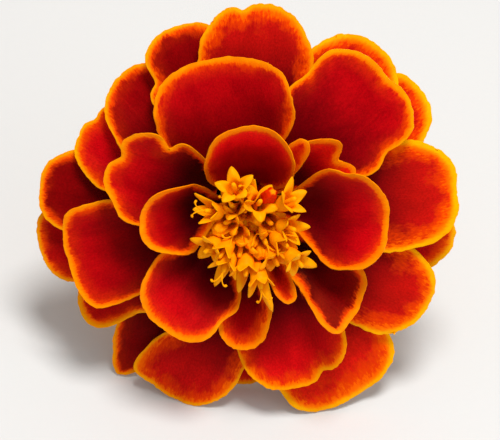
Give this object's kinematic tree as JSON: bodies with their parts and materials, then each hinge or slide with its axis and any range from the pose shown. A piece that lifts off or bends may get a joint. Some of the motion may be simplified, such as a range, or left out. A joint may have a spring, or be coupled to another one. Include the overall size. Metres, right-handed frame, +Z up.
{
  "type": "marigold flower",
  "caption": "Picked double marigold head: broad red ray florets with orange margins around a cluster of tubular disc florets, in a green cup on a short cut stalk.",
  "frame": {"origin": "centre of the bounding box's bottom face, on the surface that the flower lies on", "axes": "+Z up from the surface; the flower head faces -Y and up, and the stalk runs back towards +Y; X runs across the head"},
  "size_m": [0.0458, 0.0586, 0.0407],
  "materials": {
    "ray_floret": null,
    "disc_floret": null,
    "involucre": null,
    "peduncle": null
  },
  "bodies": {
    "root": {"ray_floret_01": "ray_floret", "ray_floret_02": "ray_floret", "ray_floret_03": "ray_floret", "ray_floret_04": "ray_floret", "ray_floret_05": "ray_floret", "ray_floret_06": "ray_floret", "ray_floret_07": "ray_floret", "ray_floret_08": "ray_floret", "ray_floret_09": "ray_floret", "ray_floret_10": "ray_floret", "ray_floret_11": "ray_floret", "ray_floret_12": "ray_floret", "ray_floret_13": "ray_floret", "ray_floret_14": "ray_floret", "ray_floret_15": "ray_floret", "ray_floret_16": "ray_floret", "ray_floret_17": "ray_floret", "ray_floret_18": "ray_floret", "ray_floret_19": "ray_floret", "ray_floret_20": "ray_floret", "ray_floret_21": "ray_floret", "ray_floret_22": "ray_floret", "ray_floret_23": "ray_floret", "ray_floret_24": "ray_floret", "ray_floret_25": "ray_floret", "ray_floret_26": "ray_floret", "ray_floret_27": "ray_floret", "ray_floret_28": "ray_floret", "ray_floret_29": "ray_floret", "ray_floret_30": "ray_floret", "disc_floret_01": "disc_floret", "disc_floret_02": "disc_floret", "disc_floret_03": "disc_floret", "disc_floret_04": "disc_floret", "disc_floret_05": "disc_floret", "disc_floret_06": "disc_floret", "disc_floret_07": "disc_floret", "disc_floret_08": "disc_floret", "disc_floret_09": "disc_floret", "disc_floret_10": "disc_floret", "disc_floret_11": "disc_floret", "disc_floret_12": "disc_floret", "disc_floret_13": "disc_floret", "disc_floret_14": "disc_floret", "disc_floret_15": "disc_floret", "disc_floret_16": "disc_floret", "disc_floret_17": "disc_floret", "disc_floret_18": "disc_floret", "disc_floret_19": "disc_floret", "disc_floret_20": "disc_floret", "disc_floret_21": "disc_floret", "disc_floret_22": "disc_floret", "disc_floret_23": "disc_floret", "disc_floret_24": "disc_floret", "disc_floret_25": "disc_floret", "disc_floret_26": "disc_floret", "disc_floret_27": "disc_floret", "disc_floret_28": "disc_floret", "involucre": "involucre", "peduncle": "peduncle"}
  },
  "joints": []
}
